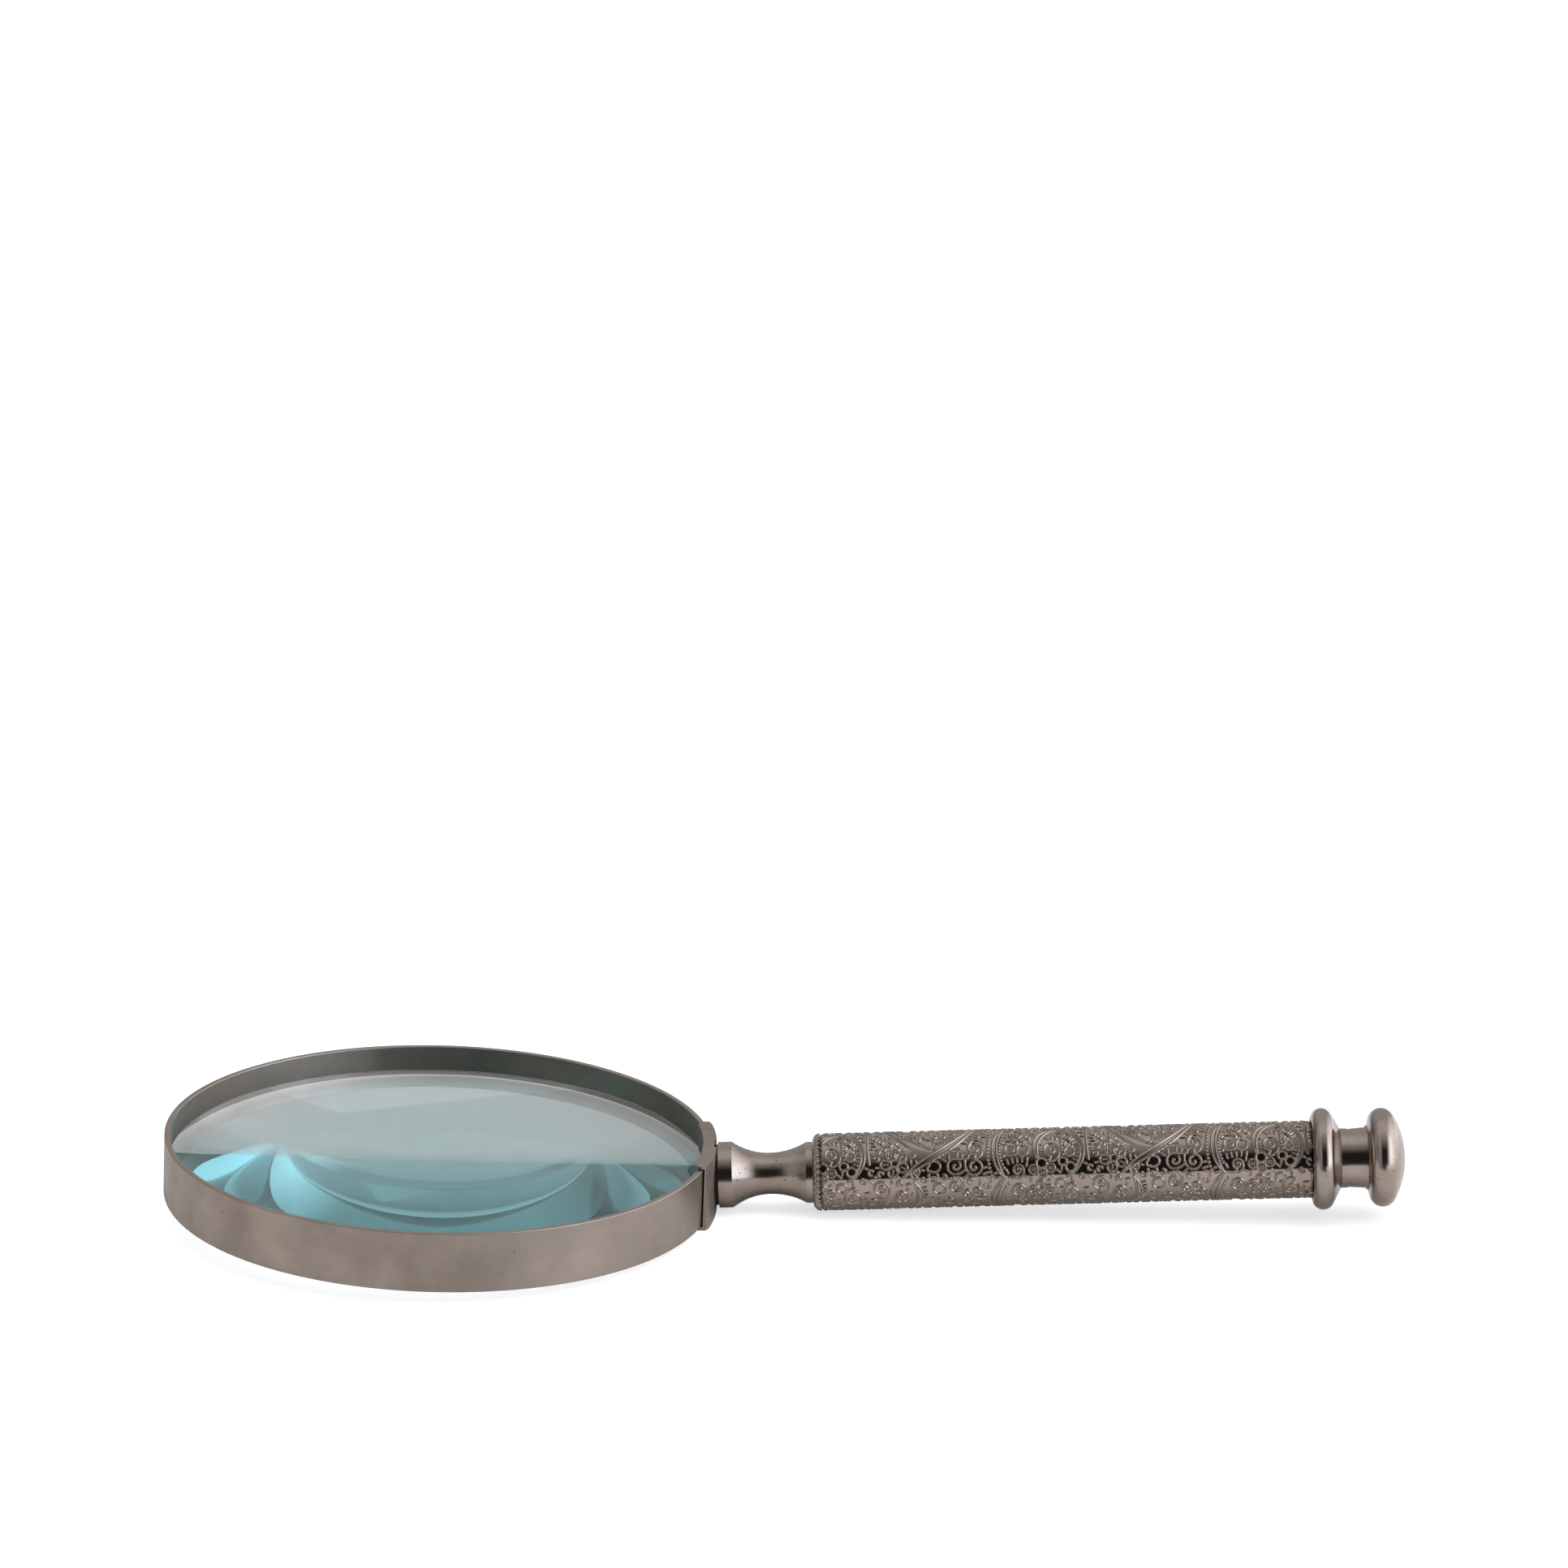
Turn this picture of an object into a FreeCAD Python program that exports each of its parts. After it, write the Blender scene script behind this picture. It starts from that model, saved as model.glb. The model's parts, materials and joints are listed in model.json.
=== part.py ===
import FreeCAD, Part
import math
import os
import Sketcher

# A hand magnifier, in millimetres, as it lies on a table: +Z up, +X from the lens towards the handle, and
# the origin on the table under the middle of the whole length. Its weight lies over the block, so it rests
# on the block's flat underside and on the shoulder at the front of the handle. The handle rises from the
# block at the pitch that lets this shoulder touch the table, and the rim rises the other way, by what is
# left of the seat angle. The pommel stays clear of the table.
# Three frames follow: the block's is upright, and the rim's and the handle's are turned about the root,
# which is on the rim's outer wall at half the block's height.

SIZES = {
    # rim: a flat strip bent to an open hoop, its ends held by the block
    "rimDia": (112.0, "outer diameter of the hoop"),
    "rimWall": (1.2, "thickness of the strip"),
    "rimHeight": (12.3, "width of the strip, along the lens's axis"),
    "rimRound": (0.2, "rounding of the strip's long edges"),
    "rimGap": (8.0, "gap between the strip's two ends, inside the block"),
    "grooveBack": (0.9, "metal left behind the glass's groove in the strip"),
    # lens
    "lensEdge": (1.8, "thickness of the glass at its edge"),
    "lensCurve": (270.0, "radius of each polished face"),
    "lensPlay": (0.1, "radial play of the glass in its groove"),
    "lensSlack": (0.05, "play of the glass above and below its edge"),
    # block
    "blockInside": (0.5, "thickness of the block inside the strip"),
    "blockOutside": (1.1, "thickness of the block outside the strip"),
    "blockProud": (0.75, "how far the block stands out above and below the strip"),
    "blockChord": (27.0, "length of the block across the handle"),
    "cornerLong": (1.9, "length of the inner corner cuts, across the handle"),
    "cornerDeep": (0.45, "depth of the inner corner cuts, along the handle"),
    "nose": (1.2, "cut of the block's outer corners"),
    "slotPlay": (0.05, "play between the strip's inner face, its end and its slot"),
    "slotGap": (0.35, "open gap outside the strip in its slot"),
    "slotRise": (0.1, "play above and below the strip in its slot"),
    "grooveRise": (0.3, "play above and below the glass's edge in the block's groove"),
    # seat of the handle on the block
    "seatAngle": (4.2, "angle between the rim's plane and the handle's axis, in degrees"),
    "axisRise": (0.15, "height of the handle's axis over the middle of the block, at the root"),
    "seatOut": (0.8, "distance from the rim's outer wall to the spot face"),
    "spotPlay": (0.75, "room round the neck washer on the spot face"),
    # tie rod and what is on it
    "rodDia": (4.0, "diameter of the rod"),
    "rodInset": (0.55, "how far the rod enters inside the rim's outer wall"),
    "rodPoint": (0.4, "chamfer of the rod's ends"),
    "rodFit": (0.1, "radial clearance of the plain bores on the rod"),
    "screwFit": (0.05, "radial clearance of a threaded bore on the rod"),
    "boreEnd": (0.1, "room past the rod in the block"),
    "washerDia": (12.4, "diameter of the neck washer"),
    "washerThick": (0.7, "thickness of the neck washer"),
    "nutFlats": (7.0, "width of the nut across its flats"),
    "nutThick": (2.2, "thickness of the nut"),
    # neck
    "neckLength": (19.25, "length of the neck"),
    "neckFront": (13.5, "diameter of the neck's front land"),
    "neckRear": (12.5, "diameter of the neck's rear land"),
    "neckWaist": (8.5, "smallest diameter of the neck"),
    "waistAt": (10.5, "distance from the neck's front to its waist"),
    "frontLand": (2.85, "length of the neck's front land"),
    "rearLand": (1.3, "length of the neck's rear land"),
    "nutPlay": (0.25, "room round the nut's corners in its counterbore"),
    "nutDepth": (3.0, "depth of the counterbore for the nut"),
    # handle
    "sleeveDia": (15.875, "outer diameter of the embossed skin, at its crests"),
    "sleeveWall": (0.5, "thickness of the embossed skin"),
    "sleeveLength": (101.25, "length of the embossed skin"),
    "skinFit": (0.02, "radial clearance under the skin"),
    "coreWall": (1.6, "wall of the core tube"),
    "plugFit": (0.03, "radial clearance of the plugs in the core tube"),
    "capRound": (1.7, "rounding of the front cap's shoulder"),
    "capLand": (0.1, "straight part of the front cap's collar"),
    "spigot": (6.0, "length of the front cap's spigot"),
    "plugLength": (7.0, "length of the rear plug"),
    # pommel
    "ringDia": (20.8, "largest diameter of the pommel ring"),
    "ringRound": (2.25, "radius of the ring's rounded crest"),
    "crestAt": (1.1, "distance from the tube's end to the ring's crest"),
    "ringLength": (4.8, "distance from the tube's end to the ring's rear face"),
    "ringCone": (61.0, "slope of the ring's back, in degrees from the handle's axis"),
    "ringLip": (0.25, "width of the lip round the ring's recess"),
    "recessFit": (0.12, "radial clearance of the tube in the ring's recess"),
    "spacerLength": (5.1, "length of the pommel's neck"),
    "spacerDia": (11.9, "diameter of the pommel's neck at the ring"),
    "spacerFlare": (12.5, "diameter of the pommel's neck at the knob"),
    "beadDia": (12.2, "diameter of the bead on the pommel's neck"),
    "beadWide": (1.35, "width of the bead on the pommel's neck"),
    "knobWasherDia": (13.2, "diameter of the washer under the knob"),
    "knobWasherThick": (0.3, "thickness of the washer under the knob"),
    "knobDia": (20.26, "largest diameter of the knob"),
    "knobLength": (7.85, "length of the knob"),
    "knobRound": (2.8, "radius of the knob's rim"),
    "knobDome": (17.6, "radius of the knob's domed end"),
    "knobFoot": (13.0, "diameter of the knob's foot"),
    "knobScrew": (5.6, "length of thread that the knob has on the rod"),
    "knobBore": (0.3, "room past the rod in the knob"),
}

doc = FreeCAD.newDocument("hand_magnifier")
sheet = doc.addObject("Spreadsheet::Sheet", "Sizes")
for row, (alias, (value, meaning)) in enumerate(SIZES.items(), start=1):
    sheet.set(f"A{row}", meaning)
    sheet.set(f"B{row}", str(value))
    sheet.setAlias(f"B{row}", alias)
doc.recompute()


def size(expression):
    """The value of an expression over the sheet's cells, as a plain number."""
    value = sheet.evalExpression(expression)
    return float(getattr(value, "Value", value))


# ---- radii and stations, as expressions over the sheet ----
# Cells are named in full, so that each expression also binds a sketch or a placement.

RIM_R = "(Sizes.rimDia / 2)"
RIM_IN = f"({RIM_R} - Sizes.rimWall)"
GROOVE_R = f"({RIM_R} - Sizes.grooveBack)"
GROOVE_HALF = "(Sizes.lensEdge / 2 + Sizes.lensSlack)"
LENS_R = f"({GROOVE_R} - Sizes.lensPlay)"
SPOT_R = "(Sizes.washerDia / 2 + Sizes.spotPlay)"
NUT_R = "(Sizes.nutFlats / 2 / cos(30 deg))"
ROD_R = "(Sizes.rodDia / 2)"
BORE_R = f"({ROD_R} + Sizes.rodFit)"
THREAD_R = f"({ROD_R} + Sizes.screwFit)"
SLEEVE_R = "(Sizes.sleeveDia / 2)"
SLEEVE_IN = f"({SLEEVE_R} - Sizes.sleeveWall)"
CORE_R = f"({SLEEVE_IN} - Sizes.skinFit)"
CORE_IN = f"({CORE_R} - Sizes.coreWall)"
PLUG_R = f"({CORE_IN} - Sizes.plugFit)"
RECESS_R = f"({SLEEVE_R} + Sizes.recessFit)"

# stations along the handle, from the rim's outer wall
NECK_AT = "(Sizes.seatOut + Sizes.washerThick)"
CAP_AT = f"({NECK_AT} + Sizes.neckLength)"
SHOULDER_AT = f"({CAP_AT} + Sizes.capRound)"
SLEEVE_AT = f"({SHOULDER_AT} + Sizes.capLand)"
TUBE_END = f"({SLEEVE_AT} + Sizes.sleeveLength)"
SPACER_AT = f"({TUBE_END} + Sizes.ringLength)"
KNOB_WASHER_AT = f"({SPACER_AT} + Sizes.spacerLength)"
KNOB_AT = f"({KNOB_WASHER_AT} + Sizes.knobWasherThick)"
ROD_END = f"({KNOB_AT} + Sizes.knobScrew)"

KNOB_END = f"({KNOB_AT} + Sizes.knobLength)"
CREST_AT = f"({TUBE_END} + Sizes.crestAt)"

# the root, and the pitch at which the rounded shoulder of the handle touches the table
ROOT_X = f"((Sizes.rimDia - {KNOB_END}) / 2)"
ROOT_Z = "(Sizes.rimHeight / 2 + Sizes.blockProud)"
HANDLE_Z = f"({ROOT_Z} + Sizes.axisRise)"
SHOULDER_R = f"({SLEEVE_R} - Sizes.capRound)"
SHOULDER_REACH = f"sqrt({SHOULDER_AT} ^ 2 + {SHOULDER_R} ^ 2)"
PITCH = f"(acos(({HANDLE_Z} - Sizes.capRound) / {SHOULDER_REACH}) - atan({SHOULDER_AT} / {SHOULDER_R}))"
TILT = f"(Sizes.seatAngle * 1 deg - {PITCH})"


# ---- frames ----

def put(thing, along_x, along_z, axis, angle):
    """Place a thing in the plane of symmetry, turned about an axis, all by expressions."""
    turn = FreeCAD.Rotation(axis, size(angle))
    thing.Placement = FreeCAD.Placement(FreeCAD.Vector(), turn)
    thing.setExpression("Placement.Base.x", along_x)
    thing.setExpression("Placement.Base.z", along_z)
    thing.setExpression("Placement.Rotation.Angle", angle)


def put_in_handle_frame(thing):
    """Origin on the handle's axis over the root, own X along the handle."""
    put(thing, ROOT_X, HANDLE_Z, FreeCAD.Vector(0, -1, 0), PITCH)


def put_on_handle_axis(thing, station):
    """Origin at a station of the handle, own Z along the handle."""
    along_x = f"{ROOT_X} + {station} * cos({PITCH})"
    along_z = f"{HANDLE_Z} + {station} * sin({PITCH})"
    put(thing, along_x, along_z, FreeCAD.Vector(0, 1, 0), f"90 deg - {PITCH}")


def put_in_rim_frame(thing, height="0"):
    """Origin on the lens's axis, at a height over its centre; own Z along it, own X towards the root."""
    along_x = f"{ROOT_X} - {RIM_R} * cos({TILT}) + {height} * sin({TILT})"
    along_z = f"{ROOT_Z} + {RIM_R} * sin({TILT}) + {height} * cos({TILT})"
    put(thing, along_x, along_z, FreeCAD.Vector(0, 1, 0), TILT)


def put_in_block_frame(thing):
    """Upright, with the centre of the block's curves at its origin."""
    thing.setExpression("Placement.Base.x", f"{ROOT_X} - {RIM_R}")
    thing.setExpression("Placement.Base.z", ROOT_Z)


# ---- sketches ----

def arc_middle(start, end, radius, side):
    """The middle of the short arc from start to end; side +1 bulges to the left of the way, -1 right."""
    chord = end - start
    half = chord.Length / 2
    sagitta = radius - math.sqrt(radius ** 2 - half ** 2)
    left = FreeCAD.Vector(-chord.y, chord.x, 0).normalize()
    return (start + end) / 2 + left * (side * sagitta)


def outline(body, role, corners):
    """A closed sketch on one of the body's own planes.

    Each corner is (x, y) in expressions, or (x, y, radius, side) where an arc leads to the next corner.
    """
    sketch = body.newObject("Sketcher::SketchObject", f"{body.Name}_outline")
    plane = next(item for item in body.Origin.OriginFeatures if item.Role == role)
    sketch.AttachmentSupport = (plane, "")
    sketch.MapMode = "FlatFace"
    places = [FreeCAD.Vector(size(corner[0]), size(corner[1]), 0) for corner in corners]
    first_point = []
    last_point = []
    for index, corner in enumerate(corners):
        here = places[index]
        there = places[(index + 1) % len(places)]
        if len(corner) == 2:
            sketch.addGeometry(Part.LineSegment(here, there))
        else:
            middle = arc_middle(here, there, size(corner[2]), corner[3])
            sketch.addGeometry(Part.Arc(here, middle, there))
        forward = (sketch.getPoint(index, 1) - here).Length < (sketch.getPoint(index, 2) - here).Length
        first_point.append(1 if forward else 2)
        last_point.append(2 if forward else 1)
    for index, corner in enumerate(corners):
        after = (index + 1) % len(corners)
        sketch.addConstraint(
            Sketcher.Constraint("Coincident", index, last_point[index], after, first_point[after]))
        pin_corner(sketch, index, first_point[index], corner)
        if len(corner) > 2:
            datum = sketch.addConstraint(Sketcher.Constraint("Radius", index, size(corner[2])))
            sketch.setExpression(f"Constraints[{datum}]", corner[2])
    return sketch


def pin_corner(sketch, edge, point, corner):
    """Bind one corner's two distances from the sketch's origin to the sheet."""
    for kind, axis, expression in (("DistanceX", -2, corner[0]), ("DistanceY", -1, corner[1])):
        if expression == "0":
            sketch.addConstraint(Sketcher.Constraint("PointOnObject", edge, point, axis))
            continue
        datum = sketch.addConstraint(Sketcher.Constraint(kind, -1, 1, edge, point, size(expression)))
        sketch.setExpression(f"Constraints[{datum}]", expression)


def cove(run, rise):
    """The radius of a hollow that leaves a waist level and gains a rise over a run."""
    return f"(({run} ^ 2 + {rise} ^ 2) / (2 * {rise}))"


def new_body(label):
    body = doc.addObject("PartDesign::Body", label)
    body.Label = label
    return body


def turned(label, corners):
    """A part turned about the handle's axis, from corners of (station, radius)."""
    body = new_body(label)
    sketch = outline(body, "XZ_Plane", corners)
    solid = body.newObject("PartDesign::Revolution", f"{label}_turned")
    solid.Profile = sketch
    solid.ReferenceAxis = (sketch, ["H_Axis"])
    put_in_handle_frame(body)
    return body


def washer(label, start, thickness, radius, hole):
    end = f"{start} + {thickness}"
    return turned(label, [(start, hole), (start, radius), (end, radius), (end, hole)])


def tube(label, start, end, outer, inner):
    return turned(label, [(start, inner), (start, outer), (end, outer), (end, inner)])


def hoop(label, corners, gap):
    """A ring about the lens's axis, from corners of (radius, height), with a gap that faces the handle.

    The sketch lies on the side away from the handle, so its radii are drawn along -X.
    """
    body = new_body(label)
    sketch = outline(body, "XZ_Plane", [(f"-{radius}", height) for radius, height in corners])
    ring = body.newObject("PartDesign::Revolution", f"{label}_ring")
    ring.Profile = sketch
    ring.ReferenceAxis = (sketch, ["V_Axis"])
    ring.Midplane = True
    ring.setExpression("Angle", f"360 deg - 2 * asin({gap} / 2 / {RIM_R})")
    put_in_rim_frame(body)
    return body


def rod_cutter(name, start, length, radius):
    """A cylinder on the handle's axis, to cut with."""
    cutter = doc.addObject("Part::Cylinder", name)
    cutter.setExpression("Radius", radius)
    cutter.setExpression("Height", length)
    put_on_handle_axis(cutter, start)
    return cutter


def cut(label, base, tools):
    """The base less every tool, one cut after another; the last cut carries the label."""
    for number, tool in enumerate(tools, start=1):
        piece = doc.addObject("Part::Cut", f"{label}_cut{number}")
        piece.Base = base
        piece.Tool = tool
        base = piece
    base.Label = label
    return base


# ---- the head ----

def rim_hoop():
    """The strip, bent to an open hoop, with a shallow groove inside that holds the glass."""
    half = "Sizes.rimHeight / 2"
    body = hoop("rim_hoop", [
        (RIM_IN, f"-{half}"),
        (RIM_R, f"-{half}"),
        (RIM_R, half),
        (RIM_IN, half),
        (RIM_IN, GROOVE_HALF),
        (GROOVE_R, GROOVE_HALF),
        (GROOVE_R, f"-{GROOVE_HALF}"),
        (RIM_IN, f"-{GROOVE_HALF}"),
    ], "Sizes.rimGap")
    doc.recompute()
    ring = body.Tip
    top = size(half)
    long_edges = [
        f"Edge{number}"
        for number, edge in enumerate(ring.Shape.Edges, start=1)
        if isinstance(edge.Curve, Part.Circle) and abs(abs(edge.CenterOfMass.z) - top) < 1e-6
    ]
    rounding = body.newObject("PartDesign::Fillet", "rim_hoop_rounding")
    rounding.Base = (ring, long_edges)
    rounding.setExpression("Radius", "Sizes.rimRound")
    return body


def lens():
    """A biconvex glass with a ground flat edge."""
    body = new_body("lens")
    edge = "Sizes.lensEdge / 2"
    crown = f"({edge} + Sizes.lensCurve - sqrt(Sizes.lensCurve ^ 2 - {LENS_R} ^ 2))"
    sketch = outline(body, "XZ_Plane", [
        ("0", f"-{crown}", "Sizes.lensCurve", -1),
        (LENS_R, f"-{edge}"),
        (LENS_R, edge, "Sizes.lensCurve", -1),
        ("0", crown),
    ])
    glass = body.newObject("PartDesign::Revolution", "lens_ground")
    glass.Profile = sketch
    glass.ReferenceAxis = (sketch, ["V_Axis"])
    put_in_rim_frame(body)
    return body


def block_blank():
    """The curved slab before its slots, groove, spot face and bore are cut."""
    inner = f"({RIM_IN} - Sizes.blockInside)"
    outer = f"({RIM_R} + Sizes.blockOutside)"
    end = "(Sizes.blockChord / 2)"
    inner_end = f"({end} - Sizes.cornerLong)"
    inner_x = f"sqrt({inner} ^ 2 - {inner_end} ^ 2)"
    outer_end = f"({end} - Sizes.nose)"
    outer_x = f"sqrt({outer} ^ 2 - {outer_end} ^ 2)"
    nose_x = f"({outer_x} - Sizes.nose / 2)"
    body = new_body("block_blank")
    sketch = outline(body, "XY_Plane", [
        (inner_x, f"-{inner_end}"),
        (f"({inner_x} + Sizes.cornerDeep)", f"-{end}"),
        (nose_x, f"-{end}"),
        (outer_x, f"-{outer_end}", outer, -1),
        (outer_x, outer_end),
        (nose_x, end),
        (f"({inner_x} + Sizes.cornerDeep)", end),
        (inner_x, inner_end, inner, 1),
    ])
    slab = body.newObject("PartDesign::Pad", "block_slab")
    slab.Profile = sketch
    slab.Midplane = True
    slab.setExpression("Length", f"2 * {ROOT_Z}")
    put_in_block_frame(body)
    return body


def rim_block():
    """The block that closes the hoop: slots for the strip's ends, the glass's groove, seat and bore."""
    half = "(Sizes.rimHeight / 2 + Sizes.slotRise)"
    slots = hoop("strip_slots", [
        (f"({RIM_IN} - Sizes.slotPlay)", f"-{half}"),
        (f"({RIM_R} + Sizes.slotGap)", f"-{half}"),
        (f"({RIM_R} + Sizes.slotGap)", half),
        (f"({RIM_IN} - Sizes.slotPlay)", half),
    ], "(Sizes.rimGap - 2 * Sizes.slotPlay)")
    groove_half = "(Sizes.lensEdge / 2 + Sizes.grooveRise)"
    groove = doc.addObject("Part::Cylinder", "lens_groove")
    groove.setExpression("Radius", GROOVE_R)
    groove.setExpression("Height", f"2 * {groove_half}")
    put_in_rim_frame(groove, f"(-{groove_half})")
    seat = rod_cutter("spot_face", "Sizes.seatOut", "Sizes.blockChord", SPOT_R)
    bore = rod_cutter("block_bore", "(-Sizes.rodInset - Sizes.boreEnd)", "Sizes.blockChord", THREAD_R)
    return cut("rim_block", block_blank(), [slots, groove, seat, bore])


# ---- the neck ----

def neck():
    """A spool with a wide front land, a deep waist and a counterbored rear land."""
    front_r = "(Sizes.neckFront / 2)"
    rear_r = "(Sizes.neckRear / 2)"
    waist_r = "(Sizes.neckWaist / 2)"
    front_run = "(Sizes.waistAt - Sizes.frontLand)"
    rear_run = "(Sizes.neckLength - Sizes.rearLand - Sizes.waistAt)"
    return turned("neck", [
        (NECK_AT, BORE_R),
        (NECK_AT, front_r),
        (f"{NECK_AT} + Sizes.frontLand", front_r, cove(front_run, f"({front_r} - {waist_r})"), -1),
        (f"{NECK_AT} + Sizes.waistAt", waist_r, cove(rear_run, f"({rear_r} - {waist_r})"), -1),
        (f"{CAP_AT} - Sizes.rearLand", rear_r),
        (CAP_AT, rear_r),
        (CAP_AT, f"{NUT_R} + Sizes.nutPlay"),
        (f"{CAP_AT} - Sizes.nutDepth", f"{NUT_R} + Sizes.nutPlay"),
        (f"{CAP_AT} - Sizes.nutDepth", BORE_R),
    ])


def neck_nut():
    """A thin hexagonal nut at the bottom of the neck's counterbore."""
    station = f"({CAP_AT} - Sizes.nutDepth)"
    blank = doc.addObject("Part::Prism", "nut_blank")
    blank.Polygon = 6
    blank.setExpression("Circumradius", NUT_R)
    blank.setExpression("Height", "Sizes.nutThick")
    put_on_handle_axis(blank, station)
    bore = rod_cutter("nut_bore", station, "Sizes.nutThick", THREAD_R)
    return cut("neck_nut", blank, [bore])


def tie_rod():
    """The rod from the block to the knob, with chamfered ends."""
    start = "(-Sizes.rodInset)"
    return turned("tie_rod", [
        (start, "0"),
        (start, f"{ROD_R} - Sizes.rodPoint"),
        (f"{start} + Sizes.rodPoint", ROD_R),
        (f"{ROD_END} - Sizes.rodPoint", ROD_R),
        (ROD_END, f"{ROD_R} - Sizes.rodPoint"),
        (ROD_END, "0"),
    ])


# ---- the handle ----

def front_cap():
    """A collar with a rounded shoulder and a spigot that centres the core tube."""
    return turned("front_cap", [
        (CAP_AT, BORE_R),
        (CAP_AT, SHOULDER_R, "Sizes.capRound", 1),
        (SHOULDER_AT, SLEEVE_R),
        (SLEEVE_AT, SLEEVE_R),
        (SLEEVE_AT, PLUG_R),
        (f"{SLEEVE_AT} + Sizes.spigot", PLUG_R),
        (f"{SLEEVE_AT} + Sizes.spigot", BORE_R),
    ])


# ---- the pommel ----

def pommel_ring():
    """A ring with a rounded crest and a coned back, its recess over the tube's end."""
    centre_r = "(Sizes.ringDia / 2 - Sizes.ringRound)"
    lip_r = f"({RECESS_R} + Sizes.ringLip)"
    lip_x = f"({CREST_AT} - sqrt(Sizes.ringRound ^ 2 - ({lip_r} - {centre_r}) ^ 2))"
    cone_x = f"({CREST_AT} + Sizes.ringRound * sin(Sizes.ringCone * 1 deg))"
    cone_r = f"({centre_r} + Sizes.ringRound * cos(Sizes.ringCone * 1 deg))"
    rear_r = f"({cone_r} - ({SPACER_AT} - {cone_x}) * tan(Sizes.ringCone * 1 deg))"
    return turned("pommel_ring", [
        (TUBE_END, BORE_R),
        (TUBE_END, RECESS_R),
        (lip_x, RECESS_R),
        (lip_x, lip_r, "Sizes.ringRound", 1),
        (cone_x, cone_r),
        (SPACER_AT, rear_r),
        (SPACER_AT, BORE_R),
    ])


def pommel_spacer():
    """The pommel's short neck: a bead against the ring, then a barrel that flares to the knob."""
    bead_end = f"({SPACER_AT} + Sizes.beadWide)"
    return turned("pommel_spacer", [
        (SPACER_AT, BORE_R),
        (SPACER_AT, "Sizes.beadDia / 2"),
        (bead_end, "Sizes.beadDia / 2"),
        (bead_end, "Sizes.spacerDia / 2"),
        (KNOB_WASHER_AT, "Sizes.spacerFlare / 2"),
        (KNOB_WASHER_AT, BORE_R),
    ])


def end_knob():
    """A mushroom knob whose round rim runs tangent into its dome, with a blind threaded bore."""
    rim_r = "(Sizes.knobDia / 2 - Sizes.knobRound)"
    dome_x = f"({KNOB_END} - Sizes.knobDome)"
    reach = "(Sizes.knobDome - Sizes.knobRound)"
    rim_x = f"({dome_x} + sqrt({reach} ^ 2 - {rim_r} ^ 2))"
    join_x = f"({dome_x} + ({rim_x} - {dome_x}) * Sizes.knobDome / {reach})"
    join_r = f"({rim_r} * Sizes.knobDome / {reach})"
    bore_end = f"({ROD_END} + Sizes.knobBore)"
    return turned("end_knob", [
        (KNOB_AT, THREAD_R),
        (KNOB_AT, "Sizes.knobFoot / 2"),
        (f"{rim_x} - Sizes.knobRound", rim_r, "Sizes.knobRound", 1),
        (join_x, join_r, "Sizes.knobDome", 1),
        (KNOB_END, "0"),
        (bore_end, "0"),
        (bore_end, THREAD_R),
    ])


SUBPARTS = [
    rim_hoop(),
    rim_block(),
    lens(),
    washer("neck_washer", "Sizes.seatOut", "Sizes.washerThick", "Sizes.washerDia / 2", BORE_R),
    neck(),
    neck_nut(),
    tie_rod(),
    front_cap(),
    tube("core_tube", SLEEVE_AT, TUBE_END, CORE_R, CORE_IN),
    tube("handle_sleeve", SLEEVE_AT, TUBE_END, SLEEVE_R, SLEEVE_IN),
    tube("rear_plug", f"{TUBE_END} - Sizes.plugLength", TUBE_END, PLUG_R, BORE_R),
    pommel_ring(),
    pommel_spacer(),
    washer("knob_washer", KNOB_WASHER_AT, "Sizes.knobWasherThick", "Sizes.knobWasherDia / 2", BORE_R),
    end_knob(),
]

doc.recompute()

for item in doc.Objects:
    if "Invalid" in item.State or "Error" in item.State:
        raise RuntimeError(f"{item.Label} did not build: {item.State}")
for part in SUBPARTS:
    if part.Shape.isNull() or not part.Shape.isValid() or not part.Shape.Solids:
        raise RuntimeError(f"{part.Label} has no valid solid")

os.makedirs("parts", exist_ok=True)
for part in SUBPARTS:
    part.Shape.exportStep(f"parts/{part.Label}.step")
    print(f"{part.Label}: {part.Shape.Volume:.1f} mm3")
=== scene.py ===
import json
import math

import bpy
import numpy as np
from mathutils import Matrix, Vector


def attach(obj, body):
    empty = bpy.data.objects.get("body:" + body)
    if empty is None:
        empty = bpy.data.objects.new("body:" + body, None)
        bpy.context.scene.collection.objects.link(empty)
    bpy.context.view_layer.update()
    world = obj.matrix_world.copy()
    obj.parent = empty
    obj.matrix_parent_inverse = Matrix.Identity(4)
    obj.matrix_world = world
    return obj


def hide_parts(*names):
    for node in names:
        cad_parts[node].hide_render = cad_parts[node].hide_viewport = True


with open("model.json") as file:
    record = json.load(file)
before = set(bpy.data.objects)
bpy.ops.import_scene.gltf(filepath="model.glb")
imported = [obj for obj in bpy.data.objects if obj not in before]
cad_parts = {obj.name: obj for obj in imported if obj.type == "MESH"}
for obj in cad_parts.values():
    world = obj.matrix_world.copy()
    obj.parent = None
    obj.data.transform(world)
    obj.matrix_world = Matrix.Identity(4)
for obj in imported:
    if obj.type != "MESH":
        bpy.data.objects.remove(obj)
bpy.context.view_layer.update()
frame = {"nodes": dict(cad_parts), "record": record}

MM = 0.001
DEGREE = math.radians(1)

# ---- sizes of the magnifier, in millimetres; places come from the frame's mounts ----

LENS_RADIUS = 55.0
LENS_EDGE = 1.8
LENS_CURVE = 270.0

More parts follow.
